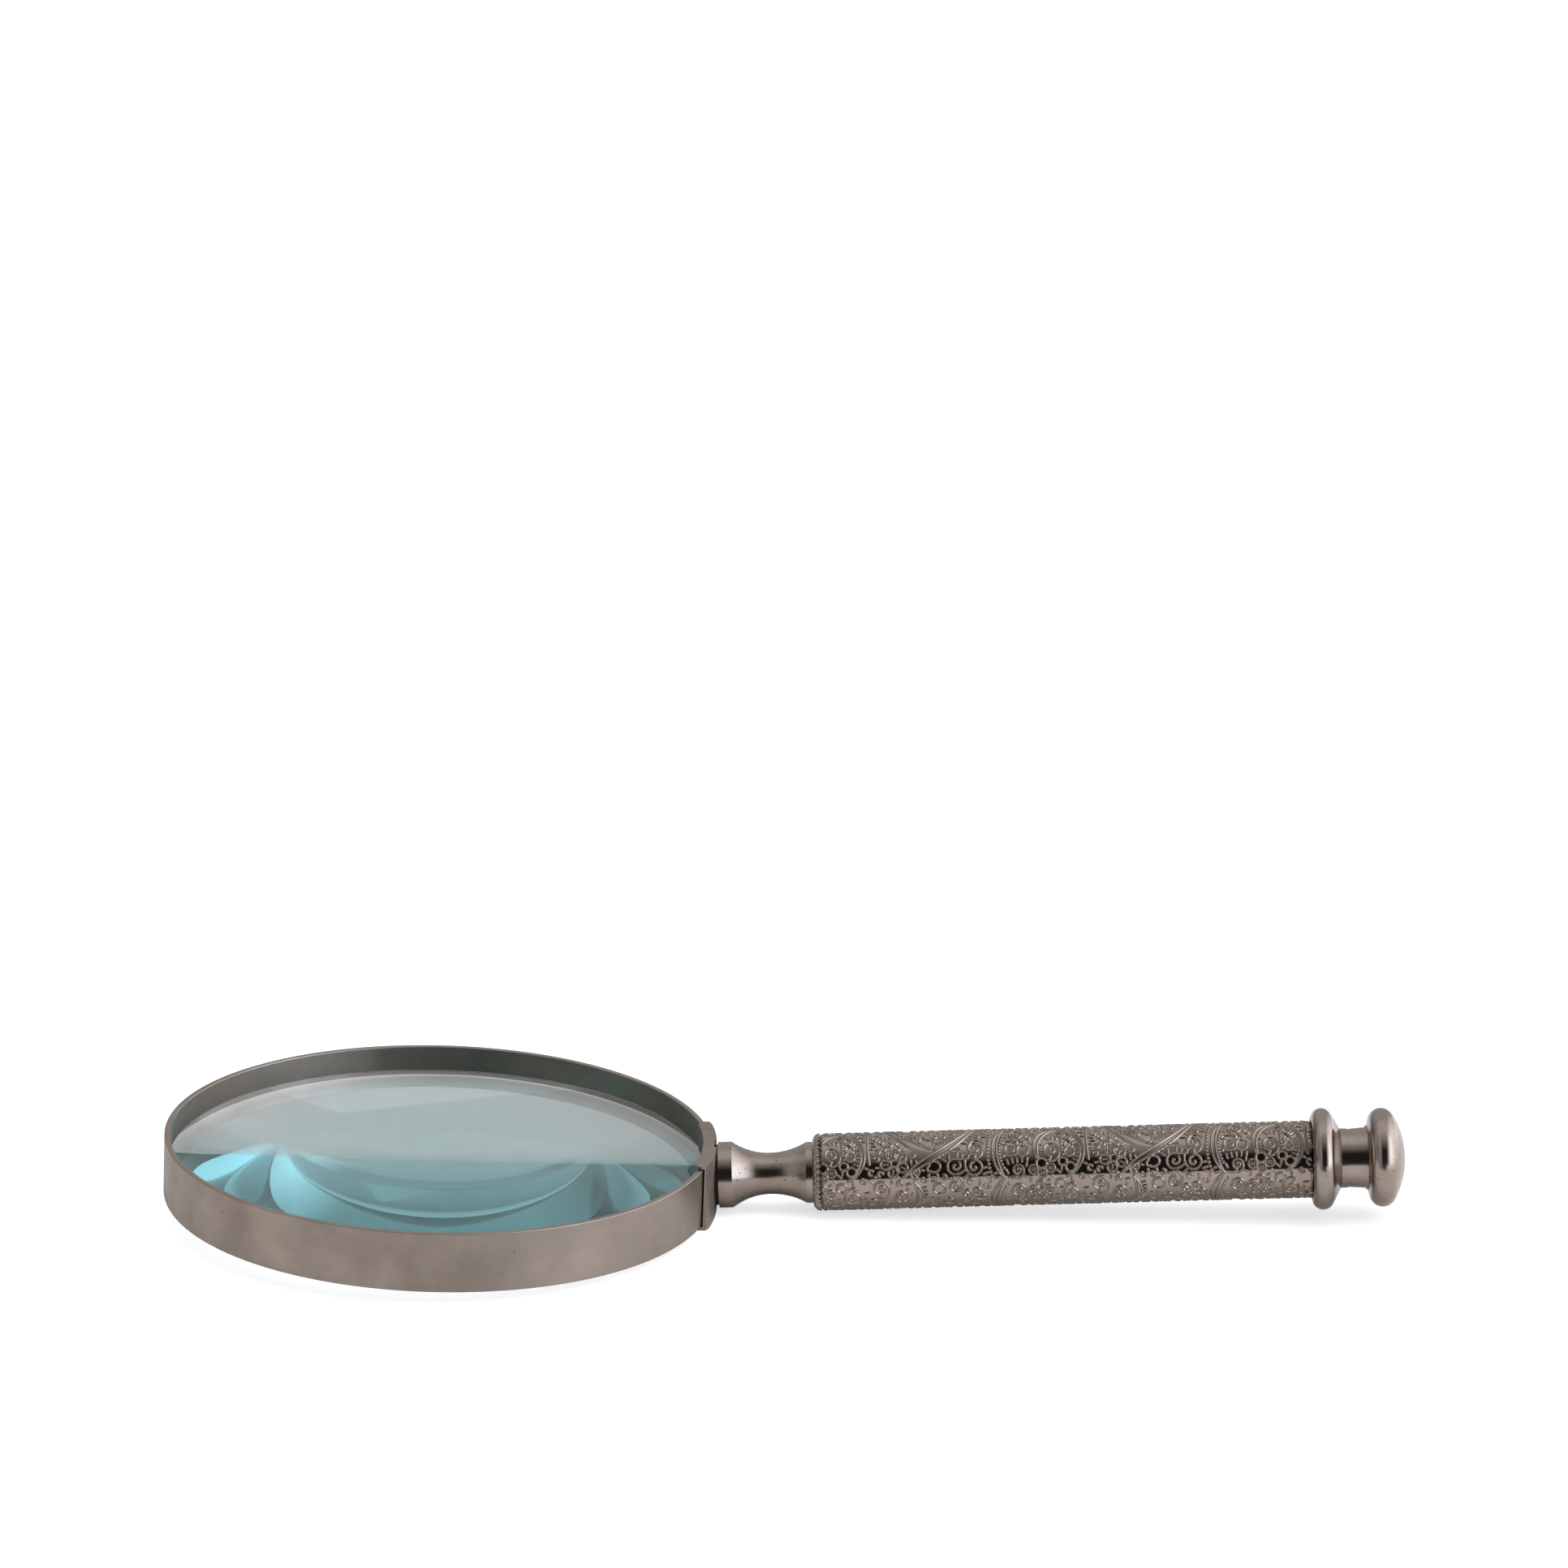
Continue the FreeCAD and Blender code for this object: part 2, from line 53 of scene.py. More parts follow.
# stations along the handle, from the rim's outer wall
NECK_AT = 1.5
NECK_LENGTH = 19.25
CAP_AT = NECK_AT + NECK_LENGTH
CAP_LENGTH = 1.8
CAP_ROUND = 1.7
SLEEVE_AT = CAP_AT + CAP_LENGTH
SLEEVE_LENGTH = 101.25
SLEEVE_RADIUS = 7.9375
TUBE_END = SLEEVE_AT + SLEEVE_LENGTH
RING_LENGTH = 4.8
SPACER_AT = TUBE_END + RING_LENGTH
BORE_RADIUS = 2.1

mounts = {mount["name"]: mount for mount in frame["record"]["mounts"]}


def standing_matrix(place, along):
    """A frame with its own X along a direction in the plane of symmetry and its own Y across it."""
    own_x = Vector(along).normalized()
    own_y = Vector((0, 1, 0))
    own_z = own_x.cross(own_y)
    turn = Matrix((own_x, own_y, own_z)).transposed().to_4x4()
    return Matrix.Translation(place) @ turn


grip = mounts["handle_grip"]
handle_axis = Vector(grip["axis"]).normalized()
handle_root = Vector(grip["pos_m"]) - handle_axis * (SLEEVE_AT + SLEEVE_LENGTH / 2) * MM
HANDLE = standing_matrix(handle_root, handle_axis)

optics = mounts["optical_centre"]
lens_axis = Vector(optics["axis"]).normalized()
RIM = standing_matrix(Vector(optics["pos_m"]), Vector((0, 1, 0)).cross(lens_axis))


# ---- colours and nodes ----

def colour(code):
    """An sRGB hex value as linear red, green, blue and alpha."""
    channels = [int(code[i:i + 2], 16) / 255 for i in (1, 3, 5)]
    linear = [c / 12.92 if c <= 0.04045 else ((c + 0.055) / 1.055) ** 2.4 for c in channels]
    return (*linear, 1.0)


def add(tree, kind, inputs=(), stops=(), **settings):
    """Adds a node and gives its outputs. Its inputs go in order or by name, each as a value or as a socket
    to link from, and a ramp's stops as (place, hex colour)."""
    node = tree.nodes.new("ShaderNode" + kind)
    for name, value in settings.items():
        setattr(node, name, value)
    for name, value in inputs.items() if isinstance(inputs, dict) else enumerate(inputs):
        if isinstance(value, bpy.types.NodeSocket):
            tree.links.new(value, node.inputs[name])
        else:
            node.inputs[name].default_value = value
    if stops:
        elements = node.color_ramp.elements
        while len(elements) < len(stops):
            elements.new(0.5)
        for element, (place, code) in zip(elements, stops):
            element.position = place
            element.color = colour(code)
    return node.outputs


def blank_material(name):
    """A material with nothing in it yet, its tree, and the place on the piece."""
    material = bpy.data.materials.new(name)
    material.use_nodes = True
    tree = material.node_tree
    tree.nodes.clear()
    return material, tree, add(tree, "TexCoord")["Object"]


# ---- finishes ----

NICKEL_BRIGHT = "#AC9F95"
NICKEL_DULL = "#9A8D84"
BARE_PIT = "#4A3E36"
OLD_POLISH = "#A99C92"
# soil with painted shade, for the corners where the skin meets the collars
SOIL_AND_SHADE = "#2E2622"
# radii of a pit in millimetres: fully dark within the first, clean plate outside the second
PIT_CORE = 0.08
PIT_EDGE = 0.20
# buffing leaves a finer grain than this, which is drawn as coarse as it needs to show
BUFFING_GRAIN = 0.9
# the lines that a die leaves are finer than this too
DIE_LINES = 0.15
FIBRE_MOTTLE = 0.6
DUST_PATCHES = 14


def plated_nickel(name, roughness, smudge=9.0, pitted=4.5, relief=False):
    """Nickel plate on brass, buffed, then handled for years: warm grey, clouded with finger smudges, with
    fine grain and small dark pits where the plating has let go. On the embossed skin there is old polish
    beside the ridges instead, and dark soil with painted shade in the corners at both of its ends. The
    smudges' size and the pits' spacing are in millimetres."""
    material, tree, place = blank_material(name)
    clouds = add(tree, "TexNoise", {
        "Vector": place, "Scale": 1 / (smudge * MM), "Detail": 5.0, "Roughness": 0.6})["Fac"]
    grain = add(tree, "TexNoise", {
        "Vector": place, "Scale": 1 / (BUFFING_GRAIN * MM), "Detail": 4.0, "Roughness": 0.7})["Fac"]
    pits = add(tree, "TexVoronoi", {
        "Vector": place, "Scale": 1 / (pitted * MM), "Randomness": 1.0})["Distance"]
    pit = add(tree, "MapRange", [pits, PIT_CORE / pitted, PIT_EDGE / pitted, 1.0, 0.0])[0]
    # the pits come in clusters, where the plate was thin
    thin = add(tree, "MapRange", [clouds, 0.47, 0.53, 1.0, 0.0])[0]
    pit = add(tree, "Math", [pit, thin], operation="MULTIPLY")[0]
    if relief:
        # the attribute runs from -1 in the corners over 0 on the ground to 1 on the ridges; below 0 it
        # carries the soil and painted shade of the corners
        depth = add(tree, "Attribute", attribute_name="relief")["Fac"]
        corner = add(tree, "MapRange", [depth, -1.0, 0.0, 0.0, 0.5])[0]
        ridge = add(tree, "MapRange", [depth, 0.0, 1.0, 0.0, 0.5])[0]
        # the corners are darkened with soil and painted shade, where shade falls between the skin and the
        # collars
        shade = add(tree, "ValToRGB", [add(tree, "Math", [corner, ridge], operation="ADD")[0]],
                    [(0.0, SOIL_AND_SHADE), (0.5, "#FFFFFF"), (0.53, OLD_POLISH), (0.7, "#FFFFFF")])["Color"]
    else:
        shade = add(tree, "ValToRGB", [pit], [(0.0, "#FFFFFF"), (1.0, BARE_PIT)])["Color"]
    plate = add(tree, "ValToRGB", [clouds], [(0.30, NICKEL_DULL), (0.66, NICKEL_BRIGHT)])["Color"]
    base = add(tree, "VectorMath", [plate, shade], operation="MULTIPLY")[0]
    rough = add(tree, "MapRange", [clouds, 0.3, 0.7, roughness * 1.35, roughness * 0.8])[0]
    height = add(tree, "MapRange", [grain, 0.2, 0.8, 0.0, 0.35])[0]
    height = add(tree, "Math", [height, pit], operation="SUBTRACT")[0]
    bump = add(tree, "Bump", {"Height": height, "Strength": 0.10, "Distance": 0.05 * MM})
    shader = add(tree, "BsdfPrincipled", {
        "Base Color": base, "Metallic": 1.0, "Roughness": rough, "Normal": bump["Normal"]})
    add(tree, "OutputMaterial", {"Surface": shader["BSDF"]})
    return material


# The glass takes out red most, so that a long way through it looks teal. The density is for each metre.
GLASS_COLOUR = (0.15, 0.60, 0.64, 1.0)
GLASS_DENSITY = 20.0
GLASS_IOR = 1.52


def aqua_glass():
    """Polished optical glass with a faint aqua cast, clean but for a little haze of dust."""
    material, tree, place = blank_material("aqua_glass")
    dust = add(tree, "TexNoise", {"Vector": place, "Scale": 1 / (DUST_PATCHES * MM), "Detail": 4.0})["Fac"]
    rough = add(tree, "MapRange", [dust, 0.35, 0.75, 0.0, 0.02])[0]
    film = add(tree, "ValToRGB", [dust], [(0.3, "#FFFFFF"), (0.8, "#F4F7F7")])["Color"]
    shader = add(tree, "BsdfPrincipled", {
        "Base Color": film, "Roughness": rough, "IOR": GLASS_IOR, "Transmission Weight": 1.0})
    body = add(tree, "VolumeAbsorption", {"Color": GLASS_COLOUR, "Density": GLASS_DENSITY})
    add(tree, "OutputMaterial", {"Surface": shader["BSDF"], "Volume": body["Volume"]})
    return material


def vulcanised_fibre():
    """Dark pressed fibre, matt and a little mottled."""
    material, tree, place = blank_material("vulcanised_fibre")
    mottle = add(tree, "TexNoise", {"Vector": place, "Scale": 1 / (FIBRE_MOTTLE * MM), "Detail": 4.0})["Fac"]
    base = add(tree, "ValToRGB", [mottle], [(0.3, "#17110F"), (0.7, "#2B211D")])["Color"]
    bump = add(tree, "Bump", {"Height": mottle, "Strength": 0.3, "Distance": 0.04 * MM})
    shader = add(tree, "BsdfPrincipled", {
        "Base Color": base, "Roughness": 0.75, "Normal": bump["Normal"]})
    add(tree, "OutputMaterial", {"Surface": shader["BSDF"]})
    return material


def drawn_metal(name, light, dark):
    """Bare bar or tube as it came from the die: fine lines along its length and a satin shine."""
    material, tree, place = blank_material(name)
    stretched = add(tree, "Mapping", {"Vector": place, "Scale": (0.04, 1.0, 1.0)})["Vector"]
    lines = add(tree, "TexNoise", {"Vector": stretched, "Scale": 1 / (DIE_LINES * MM), "Detail": 3.0})["Fac"]
    base = add(tree, "ValToRGB", [lines], [(0.3, dark), (0.7, light)])["Color"]
    bump = add(tree, "Bump", {"Height": lines, "Strength": 0.15, "Distance": 0.02 * MM})
    shader = add(tree, "BsdfPrincipled", {
        "Base Color": base, "Metallic": 1.0, "Roughness": 0.32, "Normal": bump["Normal"]})
    add(tree, "OutputMaterial", {"Surface": shader["BSDF"]})
    return material


# The rim and block are duller than the turned pieces, which came bright off the buffing wheel. The skin
# keeps the polish of the sheet that it was rolled from.
satin_nickel = plated_nickel("satin_nickel", 0.40, smudge=16.0)
bright_nickel = plated_nickel("bright_nickel", 0.17, smudge=7.0, pitted=1.3)
embossed_nickel = plated_nickel("embossed_nickel", 0.08, relief=True)
glass = aqua_glass()
fibre = vulcanised_fibre()
drawn_brass = drawn_metal("drawn_brass", "#C9A35A", "#9C7A3C")
drawn_steel = drawn_metal("drawn_steel", "#B9BCBF", "#8B8E92")


def finish_node(name, material):
    """Gives a solid of the frame its finish."""
    slots = frame["nodes"][name].data.materials
    slots.clear()
    slots.append(material)


for node_name in ("rim_hoop", "rim_block"):
    finish_node(node_name, satin_nickel)
for node_name in ("neck", "front_cap", "pommel_ring", "pommel_spacer", "knob_washer", "end_knob"):
    finish_node(node_name, bright_nickel)
for node_name in ("core_tube", "rear_plug"):
    finish_node(node_name, drawn_brass)
for node_name in ("tie_rod", "neck_nut"):
    finish_node(node_name, drawn_steel)
finish_node("neck_washer", fibre)
finish_node("lens", glass)
finish_node("handle_sleeve", embossed_nickel)


# ---- making pieces ----

TURNING_STEPS = 160
# where two faces of a turned piece meet more sharply than this, the edge stays crisp
CRISP_ANGLE = 35 * DEGREE
WELD = 1e-7


def arc(start, centre, angle, steps):
    """Points on an arc from start about centre, start left out."""
    reach = (start[0] - centre[0], start[1] - centre[1])
    turns = [angle * step / steps for step in range(1, steps + 1)]
    return [(centre[0] + reach[0] * math.cos(t) - reach[1] * math.sin(t),
             centre[1] + reach[0] * math.sin(t) + reach[1] * math.cos(t)) for t in turns]


def spun(name, section, axis, matrix, steps=TURNING_STEPS):
    """A closed section of (along, out) points in millimetres, spun a full turn about the axis."""
    bpy.ops.object.select_all(action="DESELECT")
    bpy.ops.mesh.primitive_circle_add(vertices=len(section), fill_type="NOTHING")
    piece = bpy.context.object
    piece.name = name
    for vertex, (along, out) in zip(piece.data.vertices, section):
        vertex.co = (along * MM, 0, out * MM) if axis == "X" else (out * MM, 0, along * MM)
    bpy.ops.object.mode_set(mode="EDIT")
    bpy.ops.mesh.select_all(action="SELECT")
    spin_axis = (1, 0, 0) if axis == "X" else (0, 0, 1)
    bpy.ops.mesh.spin(steps=steps, angle=2 * math.pi, center=(0, 0, 0), axis=spin_axis)
    weld()
    bpy.ops.object.mode_set(mode="OBJECT")
    piece.data.transform(matrix)
    bpy.ops.object.shade_smooth_by_angle(angle=CRISP_ANGLE)
    return piece


def weld():
    """Joins the points that fall together on the piece being edited, and turns all its faces outwards."""
    bpy.ops.mesh.select_all(action="SELECT")
    bpy.ops.mesh.remove_doubles(threshold=WELD)
    bpy.ops.mesh.normals_make_consistent(inside=False)


def fitted(piece, material, body, slot, *nodes):
    """Gives a piece its finish, ties it to its body, and hides the solids that it stands for."""
    piece.data.materials.clear()
    piece.data.materials.append(material)
    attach(piece, body)
    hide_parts(*nodes)


# ---- lens ----

# light through the glass shows every facet, so it is cut finer than the metal
LENS_FACE_STEPS = 60
LENS_ROUND_STEPS = 256


def lens_section():
    """Half of a biconvex glass, from its lower pole round its ground edge to its upper pole."""
    reach = math.asin(LENS_RADIUS / LENS_CURVE)
    lift = LENS_EDGE / 2 - math.sqrt(LENS_CURVE ** 2 - LENS_RADIUS ** 2)
    angles = [reach * k / LENS_FACE_STEPS for k in range(LENS_FACE_STEPS + 1)]
    upper = [(lift + LENS_CURVE * math.cos(angle), LENS_CURVE * math.sin(angle)) for angle in angles]
    lower = [(-along, out) for along, out in upper]
    return lower + upper[::-1]


ground_lens = spun("ground_lens", lens_section(), "Z", RIM, steps=LENS_ROUND_STEPS)
fitted(ground_lens, glass, "magnifier", "lens_glass", "lens")


# ---- turned collars ----

MILLED_MARKS = 36
MILLED_DEPTH = 0.60
# the milling starts this far behind the collar's front face, and runs in to its full depth
MILLED_FROM = 0.40
MILLED_RUN_IN = 0.35
# it is cut in the metal that lies no deeper than this
MILLED_BAND = 1.2
STEPS_PER_MARK = 10
SHOULDER_STEPS = 22

# the groove that parts the collar from the skin: how wide it is at its mouth and its foot, how far the
# collar has rounded down beside it, how deep it goes, and how far before the skin the shoulder's round stops
GAP_MOUTH = 0.16
GAP_FOOT = 0.10
GAP_LIP = 0.1
GAP_DEPTH = 0.45
SHOULDER_END = 0.18

RING_CREST_AT = TUBE_END + 1.1
RING_RADIUS = 10.4
RING_ROUND = 2.25
# the ring's round runs from its front lip, over the crest, to the cone at its back
RING_LIP = -75 * DEGREE
RING_CONE = 61 * DEGREE
RING_STEPS = 40
# the hollow round the end of the skin: how far it stands off, and how far it goes in from the lip
HOLLOW_CLEAR = 0.12
HOLLOW_DEPTH = 0.8


def milled_cap():
    """The front collar: a round shoulder milled into a row of beads, and a fine gap before the skin."""
    centre = (CAP_AT + CAP_ROUND, SLEEVE_RADIUS - CAP_ROUND)
    shoulder = [(CAP_AT, BORE_RADIUS), (CAP_AT, centre[1])]
    shoulder += arc(shoulder[-1], centre, -math.pi / 2, SHOULDER_STEPS)
    gap_radius = SLEEVE_RADIUS - GAP_DEPTH
    rear = [(SLEEVE_AT - GAP_MOUTH, SLEEVE_RADIUS - GAP_LIP), (SLEEVE_AT - GAP_FOOT, gap_radius),
            (SLEEVE_AT, gap_radius), (SLEEVE_AT, BORE_RADIUS)]
    shoulder = [point for point in shoulder if point[0] < SLEEVE_AT - SHOULDER_END]
    cap = spun("milled_cap", shoulder + rear, "X", Matrix.Identity(4), steps=MILLED_MARKS * STEPS_PER_MARK)
    for vertex in cap.data.vertices:
        along, y, z = (value / MM for value in vertex.co)
        out = math.hypot(y, z)
        inset = along - CAP_AT - MILLED_FROM
        if inset < 0 or out < SLEEVE_RADIUS - MILLED_BAND:
            continue
        turn = math.atan2(y, z)
        nick = (1 - abs(math.cos(MILLED_MARKS / 2 * turn))) * min(1.0, inset / MILLED_RUN_IN)
        vertex.co.y *= 1 - MILLED_DEPTH * nick / out
        vertex.co.z *= 1 - MILLED_DEPTH * nick / out
    cap.data.transform(HANDLE)
    return cap


def pommel_ring():
    """The round-backed ring, hollowed out in front so that a dark gap runs round the end of the skin."""
    centre = RING_RADIUS - RING_ROUND
    angles = [RING_LIP + (RING_CONE - RING_LIP) * k / RING_STEPS for k in range(RING_STEPS + 1)]
    crest = [(RING_CREST_AT + RING_ROUND * math.sin(angle), centre + RING_ROUND * math.cos(angle))
             for angle in angles]
    rear_radius = crest[-1][1] - (SPACER_AT - crest[-1][0]) * math.tan(RING_CONE)
    hollow = SLEEVE_RADIUS + HOLLOW_CLEAR
    back = [(SPACER_AT, rear_radius), (SPACER_AT, BORE_RADIUS), (TUBE_END, BORE_RADIUS),
            (TUBE_END, hollow), (crest[0][0] + HOLLOW_DEPTH, hollow)]
    return spun("pommel_ring_turned", crest + back, "X", HANDLE)


fitted(milled_cap(), bright_nickel, "magnifier", "nickel_plate", "front_cap")
fitted(pommel_ring(), bright_nickel, "magnifier", "nickel_plate", "pommel_ring")


# ---- embossed skin ----

# The tube's skin is polished sheet, rolled against an engraved steel roll. The roll's lines stand up on it
# as fine ridges, which outline each leaf and flower and leave the metal between them smooth. The pattern
# repeats along the skin, and again half a turn round, moved on by half a repeat.
REPEAT = 44.6
HALF_ROUND = math.pi * SLEEVE_RADIUS
# the first repeat starts this far along the skin
FIRST_REPEAT = 9.6
RIDGE_HEIGHT = 0.20
RIDGE_HALF = 0.25
# the mesh is a little coarse for such fine ridges and rounds them off, so they are shaded as steeper ones
STEEPENED = 1.35
SKIN_WALL = 0.5
# the skin is plain this far from each end, and the ridges rise to their height over the next stretch
PLAIN_END = 0.2
PLAIN_RUN_IN = 0.3
# the soil and painted shade by the front collar reaches this far back, and under the pommel ring it starts
# this far from the skin's end and thickens over the next stretch
FRONT_SOIL_AND_SHADE = 0.35
REAR_SOIL_AND_SHADE = 1.2
REAR_SOIL_AND_SHADE_RUN_IN = 0.7
# the side of one facet of the skin, and how much finer the pattern is drawn
FACET = 0.116
TILE_FINENESS = 1.5
SKIN_PIECES = 4

# half the width of the line that an engraver's point leaves, and the radius of the beads
POINT = 0.04
BEAD = 0.10
PETALS = 5
SMALL_FLOWER = 2
LEAF_TIP = 0.05
LEAF_FULLNESS = 0.8
# farther than any ridge stands from the next
FAR = 9.0


class RolledPattern:
    """Ridges drawn on the unrolled skin. For each point, ridge is how far it lies from the nearest ridge and
    bare how far from the nearest motif, which is below 0 inside it. A motif's own numbers are fractions of
    its size."""

    def __init__(self, along, around):
        self.u = along
        self.v = around
        self.ridge = np.full(along.shape, FAR)
        self.bare = np.full(along.shape, FAR)

    def offset(self, place):
        """The way from a place to each point, taken to the nearest of the place's repeats."""
        dv = self.v - place[1]
        turns = np.rint(dv / HALF_ROUND)
        du = self.u - place[0] - turns * REPEAT / 2
        return du - REPEAT * np.rint(du / REPEAT), dv - turns * HALF_ROUND

    def disc(self, place, radius):
        """How far each point lies outside a disc."""
        du, dv = self.offset(place)
        return np.hypot(du, dv) - radius

    def stroke(self, place, angle, length):
        """How far each point lies from a short straight line."""
        du, dv = self.offset(place)
        x = du * math.cos(angle) + dv * math.sin(angle)
        y = dv * math.cos(angle) - du * math.sin(angle)
        return np.hypot(np.maximum(np.abs(x) - length / 2, 0), y)

    def chain(self, line):
        """A tapering shape through (place, radius) pairs."""
        return np.minimum.reduce([self.disc(place, radius) for place, radius in line])

    def outline(self, shape):
        """A smooth shape with a ridge round it, which covers what lay under it."""
        self.ridge = np.where(shape < 0, -shape, np.minimum(self.ridge, shape))
        self.bare = np.minimum(self.bare, shape)

    def score(self, shape):
        """A ridge along a thin shape."""
        self.ridge = np.minimum(self.ridge, np.maximum(shape, 0))
        self.bare = np.minimum(self.bare, shape)

    def follow(self, line):
        """A ridge along a line of (place, heading) pairs."""
        self.score(self.chain([(place, POINT) for place, _ in line]))

    def beads(self, line):
        """A row of small beads along a line."""
        for place, _ in line:
            self.score(self.disc(place, BEAD))

    def ticks(self, line, length, lean=math.pi / 2):
        """Short strokes set across a line."""
        for place, heading in line:
            self.score(self.stroke(place, heading + lean, length))

    def flower(self, place, size, turn):
        """Round petals about a button, with a stroke in each petal of a large flower."""
        for k in range(PETALS):
            angle = turn + k * 2 * math.pi / PETALS
            out = (place[0] + 0.66 * size * math.cos(angle), place[1] + 0.66 * size * math.sin(angle))
            near = (place[0] + 0.36 * size * math.cos(angle), place[1] + 0.36 * size * math.sin(angle))
            self.outline(self.chain([(near, 0.19 * size), (out, 0.33 * size)]))
            if size > SMALL_FLOWER:
                self.score(self.stroke(out, angle, 0.26 * size))
        self.outline(self.disc(place, 0.27 * size))

    def comma(self, place, size, turn, hand):
        """A round head that winds off into a curled tail, with a hook drawn in its head."""
        line = [(place, 0.80 * size)]
        x, y, heading = *place, turn
        for step in range(1, 15):
            heading += hand * 0.17
            x += 0.125 * size * math.cos(heading)
            y += 0.125 * size * math.sin(heading)
            line.append(((x, y), 0.80 * size * (1 - step / 16) ** 0.9))
        self.outline(self.chain(line))
        curl = []
        for k in range(20):
            angle = turn + hand * (2.4 + 0.26 * k)
            reach = (0.12 + 0.022 * k) * size
            curl.append(((place[0] + reach * math.cos(angle), place[1] + reach * math.sin(angle)), 0))
        self.follow(curl)


def curve(*corners, count=24):
    """Places and headings along a Bezier curve."""
    line = []
    for k in range(count):
        t = k / (count - 1)
        rows = [np.array(corner, float) for corner in corners]
        while len(rows) > 2:
            rows = [a + (b - a) * t for a, b in zip(rows, rows[1:])]
        place = rows[0] + (rows[1] - rows[0]) * t
        way = rows[1] - rows[0]
        line.append(((place[0], place[1]), math.atan2(way[1], way[0])))
    return line


def swelling(line, width):
    """A leaf's outline on a line: pointed at its ends and widest in the middle."""
    last = len(line) - 1
    return [(place, LEAF_TIP + width * math.sin(math.pi * k / last) ** LEAF_FULLNESS)
            for k, (place, _) in enumerate(line)]


def beside(line, distance):
    """The same line moved to one side."""
    return [((place[0] - distance * math.sin(heading), place[1] + distance * math.cos(heading)), heading)
            for place, heading in line]


def arch(place, radius, start, end, count=26):
    """Places and headings round part of a circle."""
    angles = [start + (end - start) * k / (count - 1) for k in range(count)]
    return [((place[0] + radius * math.cos(angle), place[1] + radius * math.sin(angle)), angle + math.pi / 2)
            for angle in angles]


# The motifs are drawn in millimetres on one repeat: each place is along the skin, then round it.

def draw_leaves(pattern):
    """Two long smooth leaves that cross, feathered below where they part."""
    falling = curve((2.4, -6.6), (4.4, 0.8), (8.6, 6.0), (13.2, 6.6), (17.6, 5.9), count=70)
    rising = curve((22.4, -3.4), (20.2, 3.6), (15.2, 6.4), (11.4, 7.6), (7.2, 11.2), count=70)
    pattern.ticks(beside(curve((20.6, 2.2), (18.8, 5.2), (14.6, 8.0), count=11), 1.0), 1.1, 0.9)
    pattern.ticks(beside(curve((4.6, 5.6), (7.4, 7.0), (10.0, 7.4), count=6), 1.0), 1.1, 1.2)
    pattern.outline(pattern.chain(swelling(falling, 0.74)))
    pattern.outline(pattern.chain(swelling(rising, 0.62)))
    pattern.ticks(beside(curve((13.4, 5.4), (15.6, 4.8), (17.8, 3.0), count=7), -0.9), 0.9, 1.0)
    pattern.outline(pattern.chain([((11.4, 3.4), 0.9), ((12.4, 4.0), 1.1)]))
    pattern.ticks(curve((6.4, 1.4), (8.2, 2.2), (9.8, 2.0), count=5), 1.0, 1.3)


def draw_posy(pattern):
    """A flower under the leaves, with commas and discs beside it."""
    pattern.flower((5.4, 8.3), 2.9, 0.5)
    pattern.comma((9.6, 10.2), 1.0, 2.6, -1)
    pattern.outline(pattern.chain([((12.6, 9.6), 0.55), ((13.5, 9.2), 1.15)]))
    pattern.comma((17.8, 9.2), 2.05, 0.3, -1)
    pattern.comma((21.6, 9.5), 1.95, 3.5, 1)
    pattern.outline(pattern.disc((19.8, 7.2), 0.62))
    pattern.comma((21.7, 5.4), 1.55, 0.2, 1)
    pattern.follow(curve((20.4, 4.6), (21.8, 2.4), (23.6, 4.2), count=20))


def draw_bow(pattern):
    """A tall bow with a row of beads along it, and scrolls beside it."""
    bow = curve((27.6, -0.2), (23.8, 6.2), (27.8, 12.0), count=46)
    pattern.beads(curve((24.9, 1.6), (23.6, 6.4), (25.2, 11.4), count=13))
    pattern.outline(pattern.chain(swelling(bow, 0.42)))
    pattern.beads(beside(bow, -0.95)[8:-6:3])
    pattern.comma((29.2, 6.0), 1.65, -1.1, -1)
    pattern.outline(pattern.chain([((31.0, 4.6), 0.7), ((31.5, 6.2), 1.15)]))
    pattern.comma((30.6, 10.2), 1.2, 0.5, 1)
    pattern.ticks(curve((28.4, 8.6), (30.2, 8.0), (32.4, 8.2), count=5), 0.9)
    pattern.comma((30.2, 1.8), 1.5, 2.4, -1)


def draw_medallion(pattern):
    """Two arcs face each other round a flower of commas and a cluster of discs."""
    left = arch((39.6, 5.8), 5.5, math.pi * 0.84, math.pi * 1.42, 46)
    right = arch((37.6, 6.6), 6.0, -math.pi * 0.36, math.pi * 0.34, 50)
    pattern.ticks(arch((37.6, 6.6), 4.95, -math.pi * 0.30, math.pi * 0.28, 12), 0.95)
    pattern.outline(pattern.chain(swelling(left, 0.42)))
    pattern.outline(pattern.chain(swelling(right, 0.30)))
    pattern.comma((37.3, 6.1), 1.75, 0.4, 1)
    for turn in (0.5, 1.5, 2.5):
        petal = ((35.3 + 2.1 * math.cos(turn), 9.0 + 2.1 * math.sin(turn)), 0.85)
        pattern.outline(pattern.chain([((35.3, 9.0), 0.3), petal]))
        pattern.outline(pattern.disc(petal[0], 0.34))
    pattern.outline(pattern.disc((35.3, 9.0), 1.05))
    pattern.outline(pattern.chain([((40.9, 5.2), 0.85), ((41.0, 6.7), 0.95)]))
    pattern.outline(pattern.disc((39.6, 8.7), 0.85))
    pattern.outline(pattern.disc((41.2, 9.9), 0.95))
    pattern.beads(curve((39.4, 3.0), (39.2, 5.2), (39.7, 7.2), count=6))
    pattern.outline(pattern.disc((40.6, 3.0), 0.75))
    pattern.follow(curve((44.6, 1.2), (44.4, 4.8), (44.9, 8.4), count=22))


